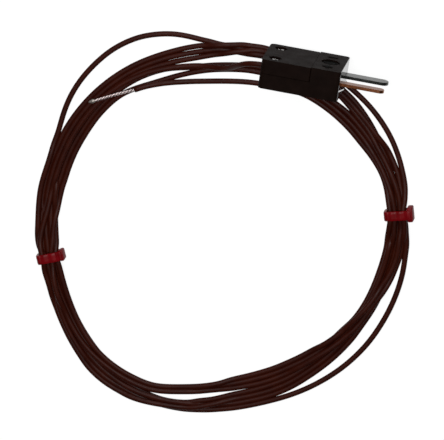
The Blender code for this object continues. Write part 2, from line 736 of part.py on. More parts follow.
def cable_tie(name, tie, head_side):
    """A moulded tie: a strap round the bundle, and its head on the outer or inner side."""
    angle, radius = tie
    half_bore = TIE_BORE_WIDTH / 2
    bottom = STRAP_THICKNESS
    top = bottom + TIE_BORE_HEIGHT
    corner = STRAP_CORNER_RADIUS
    reach = half_bore + STRAP_THICKNESS
    outer = rounded_rectangle(-reach, reach, 0, top + STRAP_THICKNESS, [corner] * 4)
    inner_corner = max(corner - STRAP_THICKNESS, FIT)
    bore = rounded_rectangle(-half_bore, half_bore, bottom, top, [inner_corner] * 4)
    strap = plate(name, [outer, bore], STRAP_WIDTH)
    head_low = (top + STRAP_THICKNESS - HEAD_HEIGHT) / 2
    near = head_side * (half_bore + STRAP_THICKNESS / 2)
    far = head_side * (half_bore + HEAD_THICKNESS)
    head = box(
        f"{name} head", (min(near, far), -HEAD_WIDTH / 2, head_low),
        (max(near, far), HEAD_WIDTH / 2, head_low + HEAD_HEIGHT), 0.2 * STRAP_THICKNESS,
    )
    window_near = head_side * (half_bore + (HEAD_THICKNESS - WINDOW_THICKNESS) / 3)
    window_far = window_near + head_side * WINDOW_THICKNESS
    head_top = head_low + HEAD_HEIGHT
    window = box(
        f"{name} window",
        (min(window_near, window_far), -STRAP_WIDTH / 2, head_top - WINDOW_DEPTH),
        (max(window_near, window_far), STRAP_WIDTH / 2, head_top + STRAP_THICKNESS),
    )
    turn = math.radians(angle)
    place = Vector((
        COIL_CENTRE[0] + radius * math.cos(turn), COIL_CENTRE[1] + radius * math.sin(turn), SURFACE
    ))
    frame = bpy.data.objects.new(f"{name} place", None)
    frame.location = place
    frame.rotation_euler = (0, 0, turn)
    put(frame, PARTS)
    unite(strap, head)
    cut(strap, window)
    add_bevel(strap, 0.12 * STRAP_THICKNESS, 1)
    for piece in (strap, head, window):
        piece.parent = frame
    return put(smooth(strap), PARTS, TIE_NYLON)


clear_scene()
PARTS = new_collection("thermocouple_probe")
CUTTERS = new_collection("cutters")
CABLE_JACKET = material("cable jacket", (0.09, 0.02, 0.012), 0.45)
TIE_NYLON = material("tie nylon", (0.32, 0.012, 0.02), 0.35)

plug_base()
plug_cover()
pin("pin_positive", 1, POSITIVE_PIN_WIDTH, (0.58, 0.29, 0.17))
pin("pin_negative", -1, NEGATIVE_PIN_WIDTH, (0.42, 0.44, 0.43))
for label, side in (("upper", 1), ("lower", -1)):
    screw(
        f"cover_screw_{label}",
        (COVER_SCREW_X, COVER_FACE - COUNTERBORE_DEPTH + FIT, side * COVER_SCREW_SPACING / 2),
        COVER_HEAD_RADIUS, COVER_HEAD_HEIGHT,
        COVER_FACE - COUNTERBORE_DEPTH + PLUG_THICKNESS / 2 - HOLE_FLOOR, 55 * side,
    )
terminal("positive", 1)
terminal("negative", -1)
cable_grommet()
cable_coil()
cable_tubes()
bare_pair()
cable_tie("cable_tie_left", LEFT_TIE, -1)
cable_tie("cable_tie_right", RIGHT_TIE, 1)
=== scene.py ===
"""The looks of the thermocouple probe: its cable laid turn by turn, the two ties, the bare
twisted pair with its bead, the signs on the plug, and a finish for every piece."""

import math

import bmesh
import bpy
import numpy as np
from mathutils import Matrix, Vector, noise


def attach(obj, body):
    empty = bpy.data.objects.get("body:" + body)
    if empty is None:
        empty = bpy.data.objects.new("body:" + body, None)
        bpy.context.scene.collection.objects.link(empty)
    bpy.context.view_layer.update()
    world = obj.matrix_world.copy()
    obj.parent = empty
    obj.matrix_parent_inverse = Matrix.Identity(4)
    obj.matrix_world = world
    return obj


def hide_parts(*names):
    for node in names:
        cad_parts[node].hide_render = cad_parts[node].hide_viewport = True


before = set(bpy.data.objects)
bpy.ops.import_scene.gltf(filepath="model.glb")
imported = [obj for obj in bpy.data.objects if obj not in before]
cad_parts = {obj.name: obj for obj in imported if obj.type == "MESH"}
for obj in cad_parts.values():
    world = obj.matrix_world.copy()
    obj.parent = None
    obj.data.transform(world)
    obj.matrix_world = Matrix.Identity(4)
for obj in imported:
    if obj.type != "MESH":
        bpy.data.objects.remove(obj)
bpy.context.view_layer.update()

MM = 0.001

# The camera, which looks down on the coil from nearly overhead
VIEW_RIGHT = Vector((0.977, 0.145, -0.156)).normalized()
VIEW_TOWARDS = VIEW_RIGHT.cross(Vector((-0.183, 0.947, -0.264))).normalized()
VIEW_UP = VIEW_TOWARDS.cross(VIEW_RIGHT)
VIEW_DISTANCE = 2.2
VIEW_WIDTH = 111.0 * MM          # what the picture takes in at the coil
PICTURE_RISE = 0.5 * MM          # the picture's centre lies this far above the coil's
SENSOR_WIDTH = 36.0

# The floor, the sky and the lamps, whose places are given from the coil's centre
FLOOR_SIZE = 4.0
FLOOR_COLOUR = (0.86, 0.86, 0.86)
FLOOR_GLOW = 1.04                # as the camera and metal see it, a little over white
FLOOR_GLOW_SHARE = 0.86          # the rest of the floor is matt and takes the shadow
SKY_STRENGTH = 0.12
LAMPS = (                        # name, place, width and watts
    ("top lamp", (0.0, 0.2, 1.0), 0.45, 9),
    ("back lamp", (-0.1, 0.9, 0.45), 0.3, 4),
)

# The coil and the cable's first stretch, in the part's frame
COIL_CENTRE = Vector((-25.7, -45.0, -10.4)) * MM     # on the surface that the coil lies on
CABLE_START = Vector((-15.0, 0, 0)) * MM             # in the plug
CABLE_EXIT = Vector((-20.0, 0, 0)) * MM              # in the plug's rear face

# The cable, a flat twin. From here on sizes are in millimetres
WIDTH = 1.4
HEIGHT = 1.05
WAIST_DEPTH = 0.04               # the groove between the cores, as a share of the height
WAIST_WIDTH = 0.22               # and of the half width
CABLE_SIDES = 20
RING_SPACING = 0.8
LEAD_STEPS = 400
ROUTE_PASSES = 3                 # of smoothing, over the whole route

# How the turns settle on each other, step by step
PACKED_WIDTH = 1.25              # from one strand to the next where they press together
PACKED_HEIGHT = 0.95
LAYER = 0.8                      # from one layer of cable to the next
RADIUS_PASSES = 10               # of smoothing, before the turns settle
HEIGHT_PASSES = 6
SETTLE_STEPS = 700
UNSMOOTHED_STEPS = 40            # the last steps, in which the strands only part
PULL = 0.06                      # back towards a turn's own radius, as a share
SINK = 0.012                     # how far a strand drops where nothing carries it
PUSH = 0.25                      # share of an overlap that a step undoes
SIDEWAYS_SHARE = 0.5             # of that push
LEAST_GAP = 0.05                 # so that strands in one place still part
FREE_END = 22                    # degrees of the bare end that keep their own height

# The ties. Each lies at an angle in degrees round the coil and a radius
TIES = ((201.9, 44.7), (14.1, 44.6))
STRAP_THICKNESS = 0.8
STRAP_HALF_WIDTH = 1.2
STRAP_CORNER = 1.1
STRAP_CORNER_STEPS = 6
STRAP_EDGE = 0.2                 # how far its edges are rounded
STRAP_RIDGE = (0.45, 0.03)       # a low ridge on each side: its place and its height
STRAP_SPACING = 0.25             # from one of its sections to the next
WAVE_DEPTH = 0.16                # of the strap's top, which follows the strands
WAVE_LENGTH = 2.1
BORE_HALF_WIDTH = 2.35
BORE_HEIGHT = 2.4
LEFT_HEAD = (-1, 2.7, 1.5)       # its side of the bundle, its width and its thickness
RIGHT_HEAD = (1, 3.7, 1.8)
HEAD_BOTTOM = 0.45               # above the surface, as are the next heights
HEAD_TOP = 3.45
HEAD_CORNER = 0.35
BLOCK_CORNER_STEPS = 4
STUB_SETBACK = (0.3, 0.5)        # from the bore and from the head's far face
STUB_BOTTOM = 3.0
STUB_TOP = 3.85
STUB_HALF_WIDTH = 1.15
STUB_CORNER = 0.18
BLOCK_FOOT = ((0, 0.12), (0.12, 0))                      # height above the foot, inset
BLOCK_RIM = ((0.15, 0), (0.04, 0.06), (0, 0.18))         # depth below the top, inset
TIE_LIFT_ANGLE = 22.0            # over which a strap's thickness lifts the strands

# Where the plug lies on the coil, in degrees round it, and how high
UNDER_THE_PLUG = (50.0, 87.0)
PLUG_UNDERSIDE = 2.4

# How the cable is laid, from the plug to its bare end. Each row is one turn: the angle in
# degrees, the radius in millimetres and the layer, as the camera sees them round the
# coil's centre. A turn runs on into the next row.
TURNS = (
    (  # leaves the plug, lies on top, ends low on the inner side
        (97, 39.1, 2.2), (102, 39.6, 1.9), (106, 40.2, 1.5), (112, 41.0, 1.2), (118, 41.8, 1),
        (125, 42.6, 1), (135, 43.0, 1), (155, 43.0, 1), (165, 43.0, 1), (172, 43.3, 1),
        (179, 44.2, 1.3), (186, 45.8, 1.2), (192, 45.9, 1), (198, 45.6, 1), (206, 46.6, 1),
        (213, 47.5, 1), (221, 48.5, 1), (232, 49.6, 1), (242, 49.4, 1), (247, 48.7, 1),
        (254, 47.8, 1), (260, 47.1, 1), (267, 45.6, 1), (273, 44.7, 0.8), (280, 44.1, 0.3),
        (290, 43.7, 0), (300, 42.9, 0), (310, 42.6, 0), (320, 42.3, 0), (340, 42.3, 0),
        (350, 42.8, 0.6), (362, 43.2, 1), (367, 43.2, 1), (373, 42.7, 1), (380, 42.0, 0.6),
        (388, 41.2, 0.2), (395, 40.7, 0), (403, 40.1, 0),
    ),
    (
        (436, 38.6, 0), (443, 38.6, 0), (450, 38.5, 0), (457, 38.3, 0), (462, 38.1, 0),
        (470, 38.3, 0), (476, 38.7, 0), (482, 39.6, 0.3), (487, 40.4, 0.6), (492, 40.9, 1),
        (500, 41.1, 1), (510, 40.9, 1), (520, 40.9, 1), (530, 41.0, 1), (538, 41.6, 1),
        (549, 42.9, 1), (557, 44.1, 1), (571, 45.4, 1), (585, 46.2, 1), (592, 46.2, 1),
        (600, 45.9, 1), (607, 45.5, 1), (611, 44.7, 0.8), (615, 43.7, 0.6), (620, 42.8, 0.3),
        (625, 42.0, 0.1), (630, 41.5, 0), (637, 41.4, 0), (643, 41.4, 0), (650, 41.3, 0.2),
        (658, 41.2, 0.5), (665, 41.3, 0.9), (675, 42.0, 1), (685, 42.7, 1), (690, 43.1, 1),
        (696, 43.6, 1), (700, 44.1, 1), (703, 44.5, 1), (707, 45.1, 1), (712, 45.5, 1),
        (720, 45.8, 0.9), (726, 46.0, 0.6), (731, 46.5, 0.3), (734, 46.8, 0.2), (741, 47.1, 0),
        (749, 47.2, 0), (756, 47.0, 0), (763, 46.6, 0), (772, 46.0, 0.5),
    ),
    (
        (796, 43.5, 2), (800, 43.1, 2), (805, 42.6, 1.8), (810, 42.0, 1.2), (815, 41.6, 0.5),
        (820, 41.5, 0), (827, 41.8, 0), (833, 42.1, 0), (843, 42.8, 0), (865, 43.5, 0),
        (875, 43.2, 0), (885, 42.6, 0.2), (895, 42.0, 0.6), (903, 41.7, 1), (912, 42.0, 1),
        (918, 42.2, 1), (925, 42.7, 1), (931, 43.3, 1), (945, 44.8, 1), (953, 45.1, 1),
        (965, 44.8, 1), (971, 43.7, 1), (977, 42.4, 1), (984, 41.2, 0.9), (990, 40.3, 0.6),
        (999, 39.1, 0.2), (1007, 38.8, 0), (1015, 38.9, 0.2), (1020, 39.1, 0.4),
        (1027, 39.7, 0.8), (1035, 40.4, 1.2), (1044, 41.3, 1.7), (1050, 42.1, 2),
        (1057, 43.0, 2), (1061, 43.6, 1.7), (1066, 44.3, 1.2), (1071, 44.6, 1), (1080, 44.8, 1),
        (1086, 44.9, 1), (1092, 44.4, 1), (1100, 43.6, 1), (1108, 43.0, 1), (1115, 42.6, 1),
        (1120, 42.7, 1), (1125, 43.0, 1), (1132, 43.2, 1),
    ),
    (  # the loose bow outside the coil, then the loose strand at the lower right
        (1156, 42.8, 0), (1163, 43.3, 0), (1168, 43.9, 0), (1173, 44.8, 0), (1176, 45.7, 0),
        (1180, 47.1, 0), (1184, 48.5, 0), (1190, 49.9, 0), (1195, 50.8, 0), (1201, 51.1, 0),
        (1210, 50.6, 0), (1215, 50.1, 0), (1221, 49.1, 0), (1225, 48.2, 0), (1228, 47.4, 0.3),
        (1231, 46.8, 0.8), (1235, 46.1, 1), (1240, 45.8, 1), (1245, 45.9, 1), (1250, 46.1, 1),
        (1255, 45.9, 1), (1260, 45.8, 1), (1267, 46.1, 1), (1272, 44.9, 1), (1278, 44.5, 0.8),
        (1286, 45.2, 0.2), (1293, 46.4, 0), (1301, 47.5, 0), (1312, 48.7, 0), (1322, 48.5, 0),
        (1331, 48.1, 0), (1339, 47.6, 0), (1347, 47.0, 0), (1355, 46.3, 0), (1363, 46.2, 0),
        (1370, 46.4, 0), (1380, 46.8, 0), (1390, 47.2, 0), (1400, 47.4, 0), (1407, 47.3, 0),
        (1415, 47.2, 0), (1425, 46.9, 0), (1432, 46.4, 0), (1442, 45.9, 0), (1447, 45.7, 0.4),
        (1455, 45.6, 0.9), (1462, 45.0, 1), (1466, 44.6, 1), (1470, 44.2, 1), (1478, 43.9, 1),
        (1485, 43.8, 1),
    ),
    (
        (1516, 42.9, 1), (1532, 42.9, 1), (1540, 42.9, 0.3), (1545, 43.1, 0), (1556, 43.7, 0),
        (1575, 44.2, 0), (1595, 44.2, 0), (1605, 44.2, 0), (1615, 44.7, 0), (1623, 45.1, 0),
        (1632, 45.2, 0), (1646, 45.3, 0), (1661, 46.6, 0), (1672, 47.5, 0.3), (1682, 47.4, 0.8),
        (1691, 46.9, 1), (1698, 46.3, 1), (1707, 45.6, 0.3), (1713, 45.4, 0), (1720, 45.1, 0),
        (1728, 44.9, 0), (1740, 44.1, 0), (1750, 43.8, 0), (1760, 43.4, 0), (1768, 43.3, 0),
        (1776, 43.4, 0), (1785, 43.6, 0), (1795, 44.0, 0), (1802, 43.9, 0), (1812, 44.2, 0),
        (1826, 44.1, 0), (1830, 44.3, 0), (1834, 44.5, 0), (1839, 44.6, 0), (1844, 44.8, 0),
    ),
    (
        (1876, 44.6, 0.5), (1880, 44.4, 0.8), (1885, 44.2, 1.1), (1892, 44.2, 1.2),
        (1897, 44.3, 0.8), (1904, 44.4, 0.2), (1916, 44.6, 0), (1925, 44.8, 0), (1945, 45.2, 0),
        (1955, 45.2, 0), (1965, 45.3, 0), (1973, 45.0, 0), (1980, 44.3, 0), (1992, 43.7, 0),
        (2006, 44.0, 0), (2021, 45.4, 0), (2032, 46.5, 0.3), (2045, 46.8, 0), (2050, 46.9, 0),
        (2054, 46.6, 0), (2061, 45.7, 0), (2065, 44.9, 0), (2070, 43.7, 0), (2077, 42.85, 0),
        (2083, 42.6, 0), (2090, 42.35, 0), (2100, 41.9, 0), (2110, 41.6, 0.3), (2120, 41.6, 0.8),
        (2128, 41.6, 1), (2136, 41.7, 1), (2145, 42.0, 0.6), (2155, 42.5, 0.2), (2162, 42.8, 0),
        (2172, 43.2, 0), (2180, 42.7, 0), (2190, 42.2, 0), (2198, 41.9, 0), (2204, 41.35, 0),
        (2207, 40.9, 0), (2210, 40.5, 0),
    ),
    (
        (2236, 39.7, 0.5), (2240, 39.4, 1), (2245, 38.9, 1), (2250, 38.7, 1), (2257, 39.0, 0.8),
        (2262, 39.4, 0.5), (2266, 40.1, 0.3), (2272, 41.1, 0), (2278, 41.9, 0), (2285, 42.2, 0),
        (2295, 41.9, 0), (2305, 41.4, 0), (2315, 41.7, 0), (2325, 42.0, 0), (2335, 42.6, 0),
        (2352, 42.6, 0), (2366, 43.1, 0), (2381, 44.4, 0), (2392, 45.4, 0), (2400, 45.4, 0),
        (2407, 44.7, 0), (2413, 43.7, 0), (2420, 42.2, 0), (2430, 40.8, 0), (2439, 40.1, 0),
        (2450, 40.0, 0), (2465, 40.1, 0), (2475, 40.6, 0), (2483, 41.1, 0), (2488, 41.4, 0),
        (2505, 41.4, 0), (2512, 41.7, 0.5), (2522, 42.2, 1), (2534, 42.2, 0.5), (2538, 41.7, 0),
        (2543, 41.0, 0), (2550, 40.1, 0), (2557, 39.4, 0), (2565, 38.8, 0), (2573, 38.4, 0),
    ),
    (  # the bare end, which rises over the turns below it
        (2590, 36.2, 0), (2596, 35.8, 0), (2605, 35.3, 0), (2610, 35.2, 0), (2615, 35.3, 0),
        (2620, 35.7, 0), (2626, 36.4, 0.3), (2632, 37.5, 1.1), (2637, 38.4, 1.9),
        (2640, 39.1, 2.35), (2643.5, 39.6, 2.45),
    ),
)
# The lead from the plug's rear face down onto the coil, from the coil's centre
LEAD = (
    (3.5, 44.85, 10.3), (1.4, 44.4, 9.75), (-0.3, 43.5, 8.6), (-1.7, 42.4, 7.0),
    (-3.1, 41.3, 5.3), (-4.7, 40.4, 3.8), (-6.4, 39.9, 2.6),
)

# The bare twisted pair and its bead, as the camera sees them: angle, radius and height
BARE_PAIR = ((127.0, 40.6, 2.5), (131.6, 42.1, 2.38), (136.2, 43.9, 2.36))
BEAD_AT = (137.1, 44.3, 2.4)
PAIR_STEPS = 200
TIP_STEPS = 20                   # of the pair's middle line, along which the bead lies
WIRE_DIAMETER = 0.42
WIRE_SIDES = 10
WIRE_SPACING = 0.12
TWIST_PITCH = 1.8
TWIST_CLOSING = 0.35             # how much closer the wires lie at the bead
BEAD_LENGTH = 1.9
BEAD_DIAMETER = 0.9
BEAD_TAPER = 0.3
BEAD_LUMPS = ((4.0, 0.12), (9.0, 0.05))      # how fine they are, how deep

# The moulded marks and the round recess on the plug's front block
WIDE_FACE = 3.8                  # from the plug's middle plane
MARK_SETBACK = 3.9               # from the mating face
MARK_SPACING = 9.2
MARK_HEIGHT = 0.12
MARK_SINK = 0.02                 # into the face, so that no gap shows
MARK_SHOULDER = 0.7              # the share of the height below the softened rim
MARK_TOP = 0.93                  # the top's size, as a share of the outline's
MARK_ARM = 1.3
MARK_BAR = 0.38
RECESS_SETBACK = 3.8
RECESS_RADIUS = 2.2
RECESS_DEPTH = 0.3
RECESS_SIDES = 48
RECESS_FLOOR = 0.06              # thickness of the floor's disc
RECESS_RIM = (0.1, 0.02)         # how wide and how thick that disc's rim is
RECESS_RING = (1.32, 1.55, 0.16)             # inner and outer radius, height
RING_SLOPE = 0.07
SHARP_ANGLE = 40                 # degrees between faces that meet in an edge


def add_camera():
    """A long lens, so that the coil is seen almost without perspective."""
    camera = bpy.data.objects.new("camera", bpy.data.cameras.new("camera"))
    bpy.context.scene.collection.objects.link(camera)
    camera.data.sensor_width = SENSOR_WIDTH
    camera.data.lens = SENSOR_WIDTH * VIEW_DISTANCE / VIEW_WIDTH
    place = COIL_CENTRE + PICTURE_RISE * VIEW_UP + VIEW_DISTANCE * VIEW_TOWARDS
    turn = Matrix((VIEW_RIGHT, VIEW_UP, VIEW_TOWARDS)).transposed()
    camera.matrix_world = Matrix.Translation(place) @ turn.to_4x4()
    bpy.context.scene.camera = camera


def fade(distance, reach):
    """One at no distance, falling smoothly to nothing at the reach."""
    return 0.5 + 0.5 * np.cos(math.pi * np.clip(np.abs(distance) / reach, 0, 1))


def apart(angle, other):
    """The angle between two directions, in degrees."""
    return np.abs((angle - other + 180) % 360 - 180)


def seen_at(angle, radius, height):
    """The place on the coil that the camera sees at an angle and radius, as an angle that
    keeps counting up and a radius."""
    eye = (PICTURE_RISE * VIEW_UP + VIEW_DISTANCE * VIEW_TOWARDS) / MM
    across, up = math.cos(math.radians(angle)), math.sin(math.radians(angle))
    ray = radius * (across * VIEW_RIGHT + up * VIEW_UP) - eye
    place = eye + ray * (height - eye.z) / ray.z
    turned = math.degrees(math.atan2(place.y, place.x))
    return turned + 360 * round((angle - turned) / 360), place.xy.length


def place_seen(angle, radius, height):
    """The same place as a point in the part's frame, in millimetres."""
    turned, out = seen_at(angle, radius, height)
    turn = math.radians(turned)
    return Vector((out * math.cos(turn), out * math.sin(turn), height)) + COIL_CENTRE / MM


def smoothed(values, passes):
    """The values, each drawn towards its neighbours in place."""
    for _ in range(passes):
        values[1:-1] = 0.25 * values[:-2] + 0.5 * values[1:-1] + 0.25 * values[2:]
    return values


def through(x, xs, ys):
    """Values on a smooth curve through points, without overshoot."""
    steps = np.diff(xs)
    rises = np.diff(ys) / steps
    slopes = np.zeros(len(xs))
    same = rises[:-1] * rises[1:] > 0
    slopes[1:-1][same] = 2 * rises[:-1][same] * rises[1:][same] / (rises[:-1] + rises[1:])[same]
    slopes[0], slopes[-1] = rises[0], rises[-1]
    i = np.clip(np.searchsorted(xs, x, side="right") - 1, 0, len(steps) - 1)
    t = (x - xs[i]) / steps[i]
    return (
        (2 * t**3 - 3 * t**2 + 1) * ys[i] + (t**3 - 2 * t**2 + t) * steps[i] * slopes[i]
        + (3 * t**2 - 2 * t**3) * ys[i + 1] + (t**3 - t**2) * steps[i] * slopes[i + 1]
    )


def line_through(points, steps):
    """A smooth line of so many places through a few points."""
    points = np.array(points, dtype=float)
    count = np.arange(len(points), dtype=float)
    fine = np.linspace(0, count[-1], steps)
    return np.column_stack([through(fine, count, points[:, i]) for i in range(3)])


def evenly(points, spacing):
    """Points the same distance apart along a line, and how far along each lies."""
    run = np.concatenate([[0], np.cumsum(np.linalg.norm(np.diff(points, axis=0), axis=1))])
    at = np.linspace(0, run[-1], round(run[-1] / spacing) + 1)
    return np.column_stack([np.interp(at, run, points[:, i]) for i in range(3)]), at


def part_strands(r, z, gap):
    """Push strands that lie this many degrees of coil from each other apart where they
    overlap."""
    across = (r[gap:] - r[:-gap]) / PACKED_WIDTH
    up = (z[gap:] - z[:-gap]) / PACKED_HEIGHT
    near = np.maximum(np.hypot(across, up), LEAST_GAP)
    push = PUSH * np.maximum(0, 1 - near) / near
    r[gap:] += SIDEWAYS_SHARE * push * across * PACKED_WIDTH
    r[:-gap] -= SIDEWAYS_SHARE * push * across * PACKED_WIDTH
    z[gap:] += push * up * PACKED_HEIGHT
    z[:-gap] -= push * up * PACKED_HEIGHT


def lay_turns():
    """The turns' centreline from the coil's centre. It starts from TURNS, and the turns
    then settle: none passes through another, and each lies as low as those below let it."""
    stations = []
    for turn in TURNS:
        for angle, radius, layer in turn:
            height = HEIGHT / 2 + LAYER * layer
            stations.append((*seen_at(angle, radius, height), height))
    at, radii, heights = np.array(stations).T
    angle = np.arange(math.ceil(at[0]), at[-1], 1.0)
    target = smoothed(through(angle, at, radii), RADIUS_PASSES)
    held = smoothed(through(angle, at, heights), HEIGHT_PASSES)
    lift = sum(STRAP_THICKNESS * fade(apart(angle, tie), TIE_LIFT_ANGLE) for tie, _ in TIES)
    highest = np.full(len(angle), math.inf)
    under_plug = (angle % 360 > UNDER_THE_PLUG[0]) & (angle % 360 < UNDER_THE_PLUG[1])
    highest[under_plug] = PLUG_UNDERSIDE - HEIGHT / 2
    free_end = angle > at[-1] - FREE_END
    r, z = target.copy(), held + lift
    for step in range(SETTLE_STEPS):
        r += PULL * (target - r)
        z[~free_end] -= SINK
        if step < SETTLE_STEPS - UNSMOOTHED_STEPS:
            smoothed(r, 1)
            smoothed(z, 1)
        for gap in range(360, len(r), 360):
            part_strands(r, z, gap)
        z[free_end] = held[free_end]
        z = np.minimum(np.maximum(z, HEIGHT / 2 + lift), highest)
        for tie, middle in TIES:
            inside = apart(angle, tie) < math.degrees(STRAP_HALF_WIDTH / middle) + 1
            room = BORE_HALF_WIDTH - WIDTH / 2
            r[inside] = np.clip(r[inside], middle - room, middle + room)
            z[inside] = np.minimum(z[inside], STRAP_THICKNESS + BORE_HEIGHT - HEIGHT / 2)
    turn = np.radians(angle)
    return np.column_stack((r * np.cos(turn), r * np.sin(turn), z))


def cable_route():
    """The whole cable's centreline in the part's frame, in metres, and the run along it."""
    centre = np.array(COIL_CENTRE) / MM
    start = [np.array(place) / MM - centre for place in (CABLE_START, CABLE_EXIT)]
    turns = lay_turns()
    lead = line_through(np.vstack([start, LEAD, turns[:1]]), LEAD_STEPS)[:-1]
    route, _ = evenly(np.vstack([lead, turns]), RING_SPACING)
    for i in range(3):
        smoothed(route[:, i], ROUTE_PASSES)
    route, run = evenly(route, RING_SPACING)
    return (route + centre) * MM, run * MM


def section(sides):
    """The flat twin's outline: two round cores side by side in one jacket."""
    points = []
    for i in range(sides):
        turn = math.tau * i / sides
        waist = 1 - WAIST_DEPTH * math.exp(-((math.cos(turn) / WAIST_WIDTH) ** 2))
        points.append((WIDTH / 2 * math.cos(turn), HEIGHT / 2 * math.sin(turn) * waist))
    return points


def sides_of(route, i):
    """The level direction across a route at one of its points, and the direction above it."""
    along = Vector(route[min(i + 1, len(route) - 1)] - route[max(i - 1, 0)]).normalized()
    side = along.cross((0, 0, 1)).normalized()
    return side, side.cross(along)


def new_object(name, shape, finish):
    """An object from a bmesh, its faces turned outwards, with its material."""
    shape.normal_update()
    bmesh.ops.recalc_face_normals(shape, faces=shape.faces)
    mesh = bpy.data.meshes.new(name)
    shape.to_mesh(mesh)
    shape.free()
    made = bpy.data.objects.new(name, mesh)
    bpy.context.scene.collection.objects.link(made)
    made.data.materials.append(finish)
    return made


def swept(name, route, run, outline, finish):
    """A tube with the outline's shape along a route, its flat way level."""
    shape = bmesh.new()
    layer = shape.loops.layers.uv.new("along")
    rings = []
    for i, place in enumerate(route):
        side, up = sides_of(route, i)
        rings.append([shape.verts.new(Vector(place) + (x * side + y * up) * MM) for x, y in outline])
    sides = len(outline)
    for i, (ring, following) in enumerate(zip(rings, rings[1:])):
        for j in range(sides):
            k = (j + 1) % sides
            face = shape.faces.new((ring[j], ring[k], following[k], following[j]))
            face.smooth = True
            corners = ((i, j), (i, j + 1), (i + 1, j + 1), (i + 1, j))
            for loop, (at, around) in zip(face.loops, corners):
                loop[layer].uv = (run[at], around / sides)
    shape.faces.new(rings[0])
    shape.faces.new(rings[-1][::-1])
    return new_object(name, shape, finish)


def twisted(name, middle, wire, finish):
    """One of the pair's two wires: a helix round the pair's middle line."""
    route, run = evenly(middle, WIRE_SPACING)
    turns = []
    for i, place in enumerate(route):
        side, up = sides_of(route, i)
        turn = math.tau * run[i] / TWIST_PITCH + math.pi * wire
        closing = 1 - TWIST_CLOSING * run[i] / run[-1]
        offset = math.cos(turn) * side + math.sin(turn) * up
        turns.append(Vector(place) + offset * float(WIRE_DIAMETER / 2 * closing))
    circle = []
    for i in range(WIRE_SIDES):
        turn = math.tau * i / WIRE_SIDES
        circle.append((WIRE_DIAMETER / 2 * math.cos(turn), WIRE_DIAMETER / 2 * math.sin(turn)))
    return swept(name, np.array(turns) * MM, run * MM, circle, finish)


def built(name, shape, finish, place=Matrix()):
    """An object from a bmesh whose sizes are in millimetres, smooth but for its edges."""
    shape.transform(place @ Matrix.Scale(MM, 4))
    for face in shape.faces:
        face.smooth = True
    made = new_object(name, shape, finish)
    made.data.set_sharp_from_angle(angle=math.radians(SHARP_ANGLE))
    return made


def bead(name, place, along, finish):
    """The welded tip: a lump of melted wire, drawn out along the pair and uneven."""
    shape = bmesh.new()
    bmesh.ops.create_icosphere(shape, subdivisions=4, radius=0.5)
    for vertex in shape.verts:
        lumps = [depth * noise.noise(vertex.co * fineness) for fineness, depth in BEAD_LUMPS]
        vertex.co *= 1 + sum(lumps)
        vertex.co.x *= BEAD_LENGTH
        vertex.co.y *= BEAD_DIAMETER * (1 - BEAD_TAPER * vertex.co.x)
        vertex.co.z *= BEAD_DIAMETER * (1 - BEAD_TAPER * vertex.co.x)
    turn = Vector(along).to_track_quat("X", "Z").to_matrix().to_4x4()
    return built(name, shape, finish, Matrix.Translation(place) @ turn)


def rounded_loop(low, high, corner, steps):
    """A rounded rectangle between two corners, anticlockwise from its lower right."""
    points = []
    for i, (x, y) in enumerate((
        (high[0] - corner, low[1] + corner), (high[0] - corner, high[1] - corner),
        (low[0] + corner, high[1] - corner), (low[0] + corner, low[1] + corner),
    )):
        for step in range(steps + 1):
            turn = math.radians(90 * (i - 1 + step / steps))
            points.append((x + corner * math.cos(turn), y + corner * math.sin(turn)))
    return points


def skin(shape, rings):
    """Faces from each ring of vertices to the next."""
    for ring, following in zip(rings, rings[1:]):
        for j in range(len(ring)):
            k = (j + 1) % len(ring)
            shape.faces.new((ring[j], ring[k], following[k], following[j]))


def stack(shape, rings):
    """A closed solid from rings of vertices, with a face at each end."""
    skin(shape, rings)
    shape.faces.new(rings[0][::-1])
    shape.faces.new(rings[-1])


def strap(shape):
    """The band round the bundle. Its top follows the strands beneath in slight waves, and
    its underside lies flat."""
    top = BORE_HEIGHT + 2 * STRAP_THICKNESS
    reach = BORE_HALF_WIDTH + STRAP_THICKNESS
    outer = rounded_loop((-reach, 0), (reach, top), STRAP_CORNER, STRAP_CORNER_STEPS)
    fine = []
    for (x, y), (next_x, next_y) in zip(outer, outer[1:] + outer[:1]):
        count = max(1, round(math.hypot(next_x - x, next_y - y) / STRAP_SPACING))
        for i in range(count):
            fine.append((x + (next_x - x) * i / count, y + (next_y - y) * i / count))
    half, edge = STRAP_HALF_WIDTH, STRAP_EDGE
    rim = ((half, -edge), (half - 0.3 * edge, -0.3 * edge), (half - edge, 0), STRAP_RIDGE)
    profile = [(-across, depth) for across, depth in rim] + [(0, 0)] + list(rim[::-1])
    inner = ((half, edge - STRAP_THICKNESS), (half - edge, -STRAP_THICKNESS))
    profile += [*inner, *((-across, depth) for across, depth in inner[::-1])]
    rings = []
    for i, (x, y) in enumerate(fine):
        before, after = fine[i - 1], fine[(i + 1) % len(fine)]
        normal = Vector((after[1] - before[1], before[0] - after[0])).normalized()
        wave = 0.0
        if y > top - 0.01:
            wave = -WAVE_DEPTH * (math.cos(math.tau * x / WAVE_LENGTH) + 1) / 2
        rings.append([
            shape.verts.new((x + normal.x * depth, across, max(0, y + wave + normal.y * depth)))
            for across, depth in profile
        ])
    skin(shape, rings + rings[:1])


